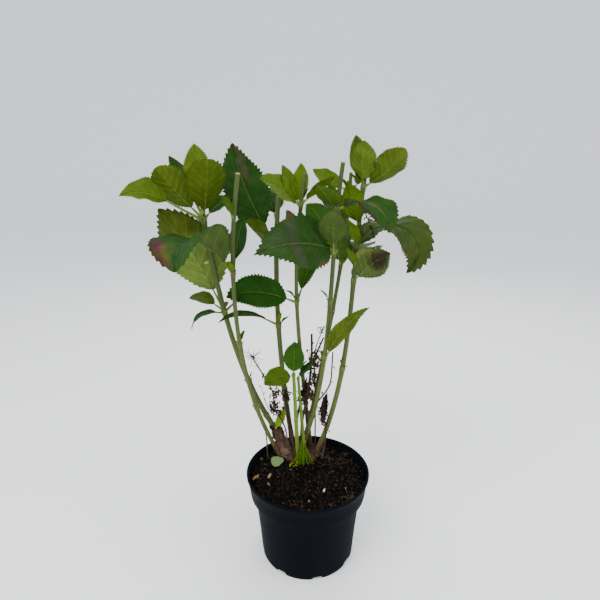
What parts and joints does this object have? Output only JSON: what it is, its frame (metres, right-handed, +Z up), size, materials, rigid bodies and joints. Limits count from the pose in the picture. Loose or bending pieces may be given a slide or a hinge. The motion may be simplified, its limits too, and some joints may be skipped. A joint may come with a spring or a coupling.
{
  "type": "potted young hydrangea shrub",
  "caption": "Young open hydrangea shrub in a round dark nursery pot, with leafy upright canes, fresh shoots and dry remains of the last season.",
  "frame": {"origin": "centre of the flat underside of the pot", "axes": "+Z up along the pot, +X to the right and +Y away from whoever looks at the side shown in the picture"},
  "size_m": [0.4122, 0.2957, 0.6374],
  "materials": {
    "pot_plastic": "matte, dusty",
    "soil": "rough, damp",
    "old_wood": "rough bark",
    "cane": "smooth green bark",
    "foliage": "soft satin leaf",
    "young_growth": "soft satin leaf",
    "dry_twigs": "dry and rough"
  },
  "bodies": {
    "root": {"pot": "pot_plastic", "soil": "soil", "root_crown": "old_wood", "old_stump": "old_wood", "cane_1": "cane", "foliage_1": "foliage", "cane_2": "cane", "foliage_2": "foliage", "cane_3": "cane", "foliage_3": "foliage", "cane_4": "cane", "foliage_4": "foliage", "cane_5": "cane", "foliage_5": "foliage", "cane_6": "cane", "foliage_6": "foliage", "cane_7": "cane", "foliage_7": "foliage", "young_shoot_1": "young_growth", "young_shoot_2": "young_growth", "new_leaf_tuft": "young_growth", "stump_sprout": "young_growth", "dry_stem_middle": "dry_twigs", "dry_twig_behind": "dry_twigs", "dry_twig_left": "dry_twigs", "dry_twig_centre": "dry_twigs", "dry_twig_right": "dry_twigs", "dry_twig_front": "dry_twigs"}
  },
  "joints": []
}
